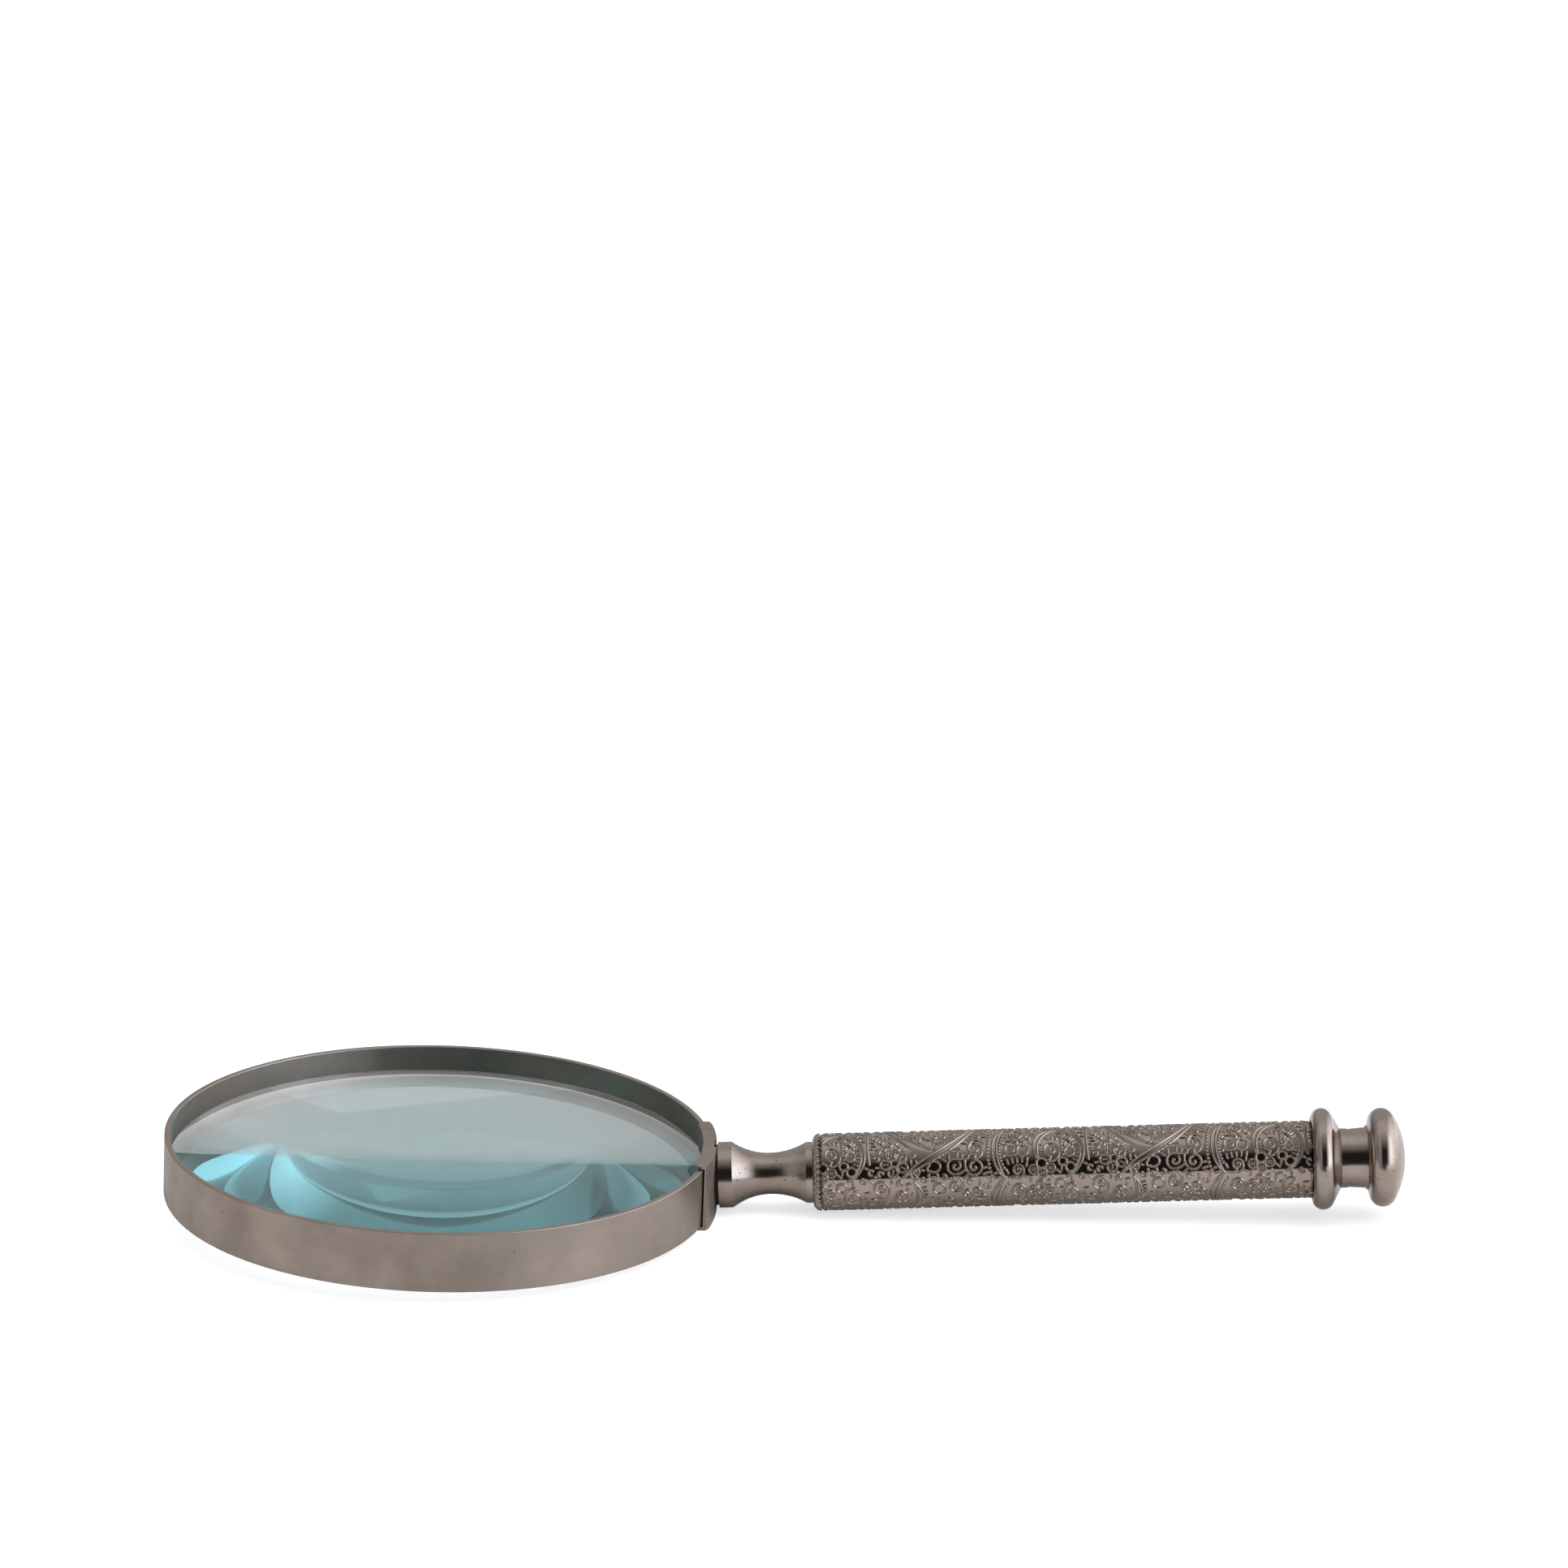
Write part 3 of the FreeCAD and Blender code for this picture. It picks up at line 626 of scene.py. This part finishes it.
def draw_border(pattern):
    """The lower row: scrolls, flowers and leaves under the medallions."""
    pattern.comma((2.6, 13.6), 1.80, 0.6, 1)
    pattern.comma((6.6, 15.6), 1.40, 2.4, -1)
    pattern.outline(pattern.disc((0.8, 17.4), 1.00))
    left_leaf = curve((7.6, 20.4), (12.4, 17.4), (9.4, 12.4), count=40)
    right_leaf = curve((26.6, 20.8), (24.2, 16.4), (27.4, 12.4), count=40)
    pattern.outline(pattern.chain(swelling(left_leaf, 0.55)))
    pattern.ticks(curve((10.0, 19.2), (12.2, 16.8), (11.4, 13.6), count=8), 0.9)
    pattern.outline(pattern.disc((14.4, 14.0), 1.20))
    pattern.comma((17.8, 13.6), 1.50, -0.4, -1)
    pattern.flower((21.4, 16.4), 2.6, 0.1)
    pattern.outline(pattern.disc((16.4, 17.6), 0.95))
    pattern.outline(pattern.chain(swelling(right_leaf, 0.50)))
    pattern.beads(curve((28.0, 19.6), (26.2, 16.4), (28.6, 13.2), count=10))
    pattern.comma((30.6, 14.8), 1.70, 0.5, 1)
    pattern.flower((35.2, 15.2), 2.6, 0.9)
    pattern.comma((31.4, 18.8), 1.40, 2.2, -1)
    pattern.outline(pattern.disc((39.2, 13.4), 1.0))
    pattern.comma((41.4, 16.2), 1.85, 3.6, 1)
    pattern.outline(pattern.disc((37.6, 19.4), 0.9))


# what fills the ground, in turn: the room that it asks for, and a stroke's length, or None for a curl
FILLINGS = ((1.10, None), (0.80, 0.9), (0.62, 0.5))
FILL_DRAWS = 2500
FILL_SEED = 11
FILL_LEAN = 0.3
CURL_RADIUS = 0.50
CURL_ANGLE = 4.0
CURL_POINTS = 12
# the lower row asks for more room and so is left plainer: places round the skin, and the room added there
PLAINER_AT = (8, 12, 13, 21, 22)
PLAINER_BY = (0.0, 0.1, 0.4, 0.4, 0.0)


def fill_ground(pattern, columns):
    """Small curls, then strokes that stand off the motifs like a fringe, wherever there is room for them."""
    slope = np.gradient(pattern.bare.reshape(columns, -1))
    away = np.arctan2(slope[1], slope[0]).ravel()
    draw = np.random.default_rng(FILL_SEED)
    for room, length in FILLINGS:
        for spot in draw.integers(pattern.u.size, size=FILL_DRAWS):
            if pattern.bare[spot] <= room + np.interp(pattern.v[spot], PLAINER_AT, PLAINER_BY):
                continue
            lean = away[spot] + draw.uniform(-FILL_LEAN, FILL_LEAN)
            place = (pattern.u[spot], pattern.v[spot])
            if length is None:
                pattern.follow(arch(place, CURL_RADIUS, lean, lean + CURL_ANGLE, CURL_POINTS))
            else:
                pattern.score(pattern.stroke(place, lean, length))


def tile_of_pattern():
    """Height of the ridges, 0 to 1, on a square lattice over one repeat of the pattern."""
    columns = round(REPEAT / FACET * TILE_FINENESS)
    rows = round(HALF_ROUND / FACET * TILE_FINENESS)
    u, v = np.meshgrid(
        np.arange(columns) * REPEAT / columns, np.arange(rows) * HALF_ROUND / rows, indexing="ij")
    pattern = RolledPattern(u.ravel(), v.ravel())
    for motif in (draw_border, draw_posy, draw_medallion, draw_bow, draw_leaves):
        motif(pattern)
    fill_ground(pattern, columns)
    fall = np.clip(pattern.ridge / RIDGE_HALF, 0, 1)
    return (1 - fall * fall * (3 - 2 * fall)).reshape(columns, rows)


def read_tile(tile, along, around):
    """Relief at any place on the skin, blended between the tile's points."""
    columns, rows = tile.shape
    turns = np.floor(around / HALF_ROUND)
    u = (along - turns * REPEAT / 2) % REPEAT / REPEAT * columns
    v = (around / HALF_ROUND - turns) * rows
    low_u, low_v = np.floor(u).astype(int), np.floor(v).astype(int)
    part_u, part_v = u - low_u, v - low_v
    # a step over the tile's last row lands on the next tile, which is moved on by half a repeat
    over = (low_v + 1) // rows
    shifted = low_u - over * (columns // 2)
    row, next_row = low_v % rows, (low_v + 1) % rows
    near = tile[low_u % columns, row] * (1 - part_u) + tile[(low_u + 1) % columns, row] * part_u
    far = tile[shifted % columns, next_row] * (1 - part_u) + tile[(shifted + 1) % columns, next_row] * part_u
    return near * (1 - part_v) + far * part_v


def skin_relief(tile, along, around):
    """Relief on the skin, which stays plain at both of its ends."""
    end = np.minimum(along, SLEEVE_LENGTH - along)
    return read_tile(tile, along - FIRST_REPEAT, around) * np.clip((end - PLAIN_END) / PLAIN_RUN_IN, 0, 1)


def read_points(mesh):
    """The places of a mesh's points, one row for each."""
    points = np.empty(len(mesh.vertices) * 3)
    mesh.vertices.foreach_get("co", points)
    return points.reshape(-1, 3)


def embossed_skin(name, tile, start, end):
    """A length of the skin: a fine grid rolled up into a tube round the handle, then embossed."""
    bpy.ops.object.select_all(action="DESELECT")
    lengthwise = round((end - start) / FACET)
    crosswise = round(2 * HALF_ROUND / FACET)
    bpy.ops.mesh.primitive_grid_add(x_subdivisions=lengthwise, y_subdivisions=crosswise, size=1)
    skin = bpy.context.object
    skin.name = name
    mesh = skin.data
    flat = read_points(mesh)
    along = start + (flat[:, 0] + 0.5) * (end - start)
    turn = -(flat[:, 1] + 0.5) * 2 * math.pi
    rolled = np.stack([SLEEVE_AT + along, SLEEVE_RADIUS * np.sin(turn), SLEEVE_RADIUS * np.cos(turn)], 1)
    mesh.vertices.foreach_set("co", (rolled * MM).ravel())
    bpy.ops.object.mode_set(mode="EDIT")
    weld()
    bpy.ops.object.mode_set(mode="OBJECT")
    bpy.ops.object.shade_smooth()

    smooth = read_points(mesh) / MM
    along = smooth[:, 0] - SLEEVE_AT
    out = smooth[:, 1:] / SLEEVE_RADIUS
    around = -np.arctan2(out[:, 0], out[:, 1]) % (2 * math.pi) * SLEEVE_RADIUS
    relief = skin_relief(tile, along, around)
    # the cut ends turn in on the core tube
    turned_in = np.minimum(along, SLEEVE_LENGTH - along) < FACET / 2
    sunk = np.where(turned_in, SKIN_WALL, RIDGE_HEIGHT * (1 - relief))
    smooth[:, 1:] = out * (SLEEVE_RADIUS - sunk)[:, None]
    mesh.vertices.foreach_set("co", (smooth * MM).ravel())
    # below zero in the corners by the front collar and under the pommel ring, where soil and painted shade
    # darken the skin
    corner = np.maximum(1 - along / FRONT_SOIL_AND_SHADE, 1 - (SLEEVE_LENGTH - along - REAR_SOIL_AND_SHADE) / REAR_SOIL_AND_SHADE_RUN_IN)
    depth = mesh.attributes.new("relief", "FLOAT", "POINT")
    depth.data.foreach_set("value", (relief - np.clip(corner, 0, 1)).astype(np.float32))
    mesh.transform(HANDLE)
    # the true slope of the relief at each point, so that the lengths meet without a line between them
    step = FACET / 2
    slope_u = (skin_relief(tile, along + step, around)
               - skin_relief(tile, along - step, around)) / (2 * step)
    slope_v = (read_tile(tile, along - FIRST_REPEAT, around + step)
               - read_tile(tile, along - FIRST_REPEAT, around - step)) / (2 * step)
    slope_u = slope_u * RIDGE_HEIGHT * STEEPENED
    slope_v = slope_v * RIDGE_HEIGHT * STEEPENED
    facing = np.stack([-slope_u, out[:, 0] + slope_v * out[:, 1], out[:, 1] - slope_v * out[:, 0]], 1)
    facing = facing @ np.array(HANDLE.to_3x3()).T
    facing /= np.linalg.norm(facing, axis=1)[:, None]
    mesh.normals_split_custom_set_from_vertices(facing)
    return skin


rolled_tile = tile_of_pattern()
for number in range(SKIN_PIECES):
    skin = embossed_skin(
        f"embossed_skin_{number + 1}", rolled_tile,
        SLEEVE_LENGTH * number / SKIN_PIECES, SLEEVE_LENGTH * (number + 1) / SKIN_PIECES)
    fitted(skin, embossed_nickel, "magnifier", "nickel_plate", "handle_sleeve")


# ---- floor, light and camera ----

# how much the floor adds to its own lit surface: to the eye, in views mirrored in the metal, and as a
# painted pool of light by the panel, in the metal only
FLOOR_TO_EYE = 0.64
FLOOR_IN_METAL = 0.12
PAINTED_PANEL_GLOW = 1.1
# in metres along the floor: where the painted pool of light by the panel grows, and the painted shadow strip
# by the block and the neck
PAINTED_POOL_RISE = (0.13, 0.40)
PAINTED_SHADOW_STRIP = (-0.016, -0.002)
PAINTED_STRIP_SOFT = 0.010
# the painted reflection of the viewer's dark side, which darkens the floor in the metal only, in metres
# along and across the floor: its soft edges on the left, on the right, which slants, and at the back
DARK_LEFT = (-0.05, -0.02)
DARK_RIGHT = (0.12, 0.15)
DARK_SLANT = 0.15
DARK_BACK = (-0.10, -0.08)


def between(tree, value, low, high, soft):
    """1 where a value lies between two limits, falling to 0 over a soft margin outside them."""
    up = add(tree, "MapRange", [value, low - soft, low, 0.0, 1.0])[0]
    down = add(tree, "MapRange", [value, high, high + soft, 1.0, 0.0])[0]
    return add(tree, "Math", [up, down], operation="MULTIPLY")[0]


def pale_floor():
    """A plain white sweep: white to the eye, with the shadow kept. In the metal it shows a painted pool of
    light by the panel, a painted shadow strip by the block and the neck, and a painted dark reflection of
    the viewer's side."""
    bpy.ops.object.select_all(action="DESELECT")
    bpy.ops.mesh.primitive_plane_add(size=6.0)
    floor = bpy.context.object
    floor.name = "floor"
    material, tree, place = blank_material("pale_floor")
    place = add(tree, "SeparateXYZ", [place])
    ray = add(tree, "LightPath")

    # painted light in the metal: a pool of light where the panel would light the floor, less a painted
    # shadow strip under the block and the neck
    painted_pool = add(tree, "MapRange", [place["X"], *PAINTED_POOL_RISE, 0.0, 1.0])[0]
    painted_strip = between(tree, place["X"], *PAINTED_SHADOW_STRIP, PAINTED_STRIP_SOFT)
    painted_glow = add(tree, "Math", [painted_pool, PAINTED_PANEL_GLOW, FLOOR_IN_METAL], operation="MULTIPLY_ADD")[0]
    painted_glow = add(tree, "Math", [painted_strip, -FLOOR_IN_METAL, painted_glow], operation="MULTIPLY_ADD")[0]

    # the viewer's dark side is painted on the floor a little below the horizon as a dark reflection, only in
    # the metal
    slanted = add(tree, "Math", [place["Y"], DARK_SLANT, place["X"]], operation="MULTIPLY_ADD")[0]
    dark = ray["Is Glossy Ray"]
    for limit in ([place["X"], *DARK_LEFT, 0.0, 1.0], [slanted, *DARK_RIGHT, 1.0, 0.0],
                  [place["Y"], *DARK_BACK, 1.0, 0.0]):
        limit = add(tree, "MapRange", limit)[0]
        dark = add(tree, "Math", [dark, limit], operation="MULTIPLY")[0]
    not_dark = add(tree, "MapRange", [dark, 0.0, 1.0, 1.0, 0.0])[0]
    painted_glow = add(tree, "Math", [painted_glow, not_dark], operation="MULTIPLY")[0]

    glow = add(tree, "Math", [ray["Is Camera Ray"], FLOOR_TO_EYE], operation="MULTIPLY")[0]
    glow = add(tree, "Math", [ray["Is Glossy Ray"], painted_glow, glow], operation="MULTIPLY_ADD")[0]
    # the floor's colour turns dark under the painted dark reflection of the viewer's side
    base = add(tree, "ValToRGB", [dark], [(0.0, "#CFCDCB"), (1.0, "#1E1A18")])["Color"]
    shader = add(tree, "BsdfPrincipled", {
        "Base Color": base, "Roughness": 0.9, "Specular IOR Level": 0.1,
        "Emission Color": colour("#FFFFFF"), "Emission Strength": glow})
    add(tree, "OutputMaterial", {"Surface": shader["BSDF"]})
    floor.data.materials.append(material)


ROOM_LEVEL = 0.64
PANEL_TINT = "#E0EDFF"


def studio_world():
    """A room of soft grey: dark on the viewer's side, dimmer to the left and behind, lighter overhead, with
    a large white panel off the right-hand end. To the eye it is white."""
    world = bpy.data.worlds.new("studio")
    world.use_nodes = True
    tree = world.node_tree
    tree.nodes.clear()
    way = add(tree, "SeparateXYZ", [add(tree, "TexCoord")["Generated"]])
    # the angle round the handle, from the viewer's horizon over the top; the angle off the handle's right
    # end; and the angle over the horizon
    toward = add(tree, "Math", [way["Y"], -1.0], operation="MULTIPLY")[0]
    over = add(tree, "Math", [way["Z"], toward], operation="ARCTAN2")[0]
    aside = add(tree, "Math", [way["X"]], operation="ARCSINE")[0]
    rise = add(tree, "Math", [way["Z"]], operation="ARCSINE")[0]

    in_front = between(tree, aside, -22 * DEGREE, 32 * DEGREE, 9 * DEGREE)
    below_head = add(tree, "MapRange", [over, 38 * DEGREE, 80 * DEGREE, 1.0, 0.0])[0]
    viewer = add(tree, "Math", [in_front, below_head], operation="MULTIPLY")[0]
    # the panel faces the viewer's side, and gives about half as much farther back
    panel = add(tree, "MapRange", [aside, 23 * DEGREE, 52 * DEGREE, 0.0, 1.0])[0]
    for limit in ([rise, -6 * DEGREE, 2 * DEGREE, 0.0, 1.0], [way["Y"], -0.28, 0.0, 1.0, 0.48]):
        limit = add(tree, "MapRange", limit)[0]
        panel = add(tree, "Math", [panel, limit], operation="MULTIPLY")[0]
    overhead = between(tree, over, 86 * DEGREE, 106 * DEGREE, 18 * DEGREE)
    left_end = add(tree, "MapRange", [aside, -55 * DEGREE, -25 * DEGREE, 1.0, 0.0])[0]
    behind = add(tree, "MapRange", [way["Y"], 0.1, 0.5, 0.0, 1.0])[0]
    low = add(tree, "MapRange", [rise, 18.5 * DEGREE, 20.5 * DEGREE, 1.0, 0.0])[0]
    low_wall = add(tree, "Math", [behind, low], operation="MULTIPLY")[0]
    # each part of the room adds its own amount to the level
    level = ROOM_LEVEL
    for part, amount in ((viewer, -0.62), (panel, 2.8), (overhead, 0.16), (left_end, -0.30),
                         (behind, -0.06), (low_wall, -0.14)):
        level = add(tree, "Math", [part, amount, level], operation="MULTIPLY_ADD")[0]
    seen = add(tree, "LightPath")["Is Camera Ray"]
    level = add(tree, "Math", [level, seen], operation="MAXIMUM")[0]
    tint = add(tree, "ValToRGB", [panel], [(0.0, "#FFFFFF"), (1.0, PANEL_TINT)])["Color"]
    sky = add(tree, "Background", {"Color": tint, "Strength": level})
    add(tree, "OutputWorld", {"Surface": sky["Background"]})
    bpy.context.scene.world = world


def soft_lamp(name, place, size, watts):
    """A square panel that faces the object, and isn't mirrored in it."""
    data = bpy.data.lights.new(name, "AREA")
    data.size = size
    data.energy = watts
    lamp = bpy.data.objects.new(name, data)
    lamp.visible_glossy = False
    bpy.context.scene.collection.objects.link(lamp)
    lamp.location = place
    lamp.rotation_euler = Vector(place).to_track_quat("Z", "Y").to_euler()


VIEW_FROM = Vector((12.26, -1263.36, 476.69)) * MM
VIEW_TO = Vector((-0.63, 0.0, 90.90)) * MM
VIEW_ROLL = 0.39 * DEGREE
VIEW_LENS = 150.84
VIEW_SENSOR = 36.0
VIEW_CLIP = (0.01, 20)


def viewing_camera():
    """A long lens in front of the object, looking a little down on it."""
    data = bpy.data.cameras.new("view")
    data.lens = VIEW_LENS
    data.sensor_width = VIEW_SENSOR
    data.clip_start, data.clip_end = VIEW_CLIP
    camera = bpy.data.objects.new("view", data)
    bpy.context.scene.collection.objects.link(camera)
    aim = (VIEW_TO - VIEW_FROM).to_track_quat("-Z", "Y").to_matrix()
    roll = Matrix.Rotation(VIEW_ROLL, 3, "Z")
    camera.matrix_world = Matrix.Translation(VIEW_FROM) @ (aim @ roll).to_4x4()
    bpy.context.scene.camera = camera


pale_floor()
studio_world()
soft_lamp("overhead", place=(0.15, 0.10, 1.20), size=1.3, watts=10.0)
viewing_camera()
bpy.context.scene.view_settings.view_transform = "Standard"
# light runs inside the lens by total reflection, and needs many turns to find its way out
bpy.context.scene.cycles.max_bounces = 32
bpy.context.scene.cycles.glossy_bounces = 24
bpy.context.scene.cycles.transmission_bounces = 24
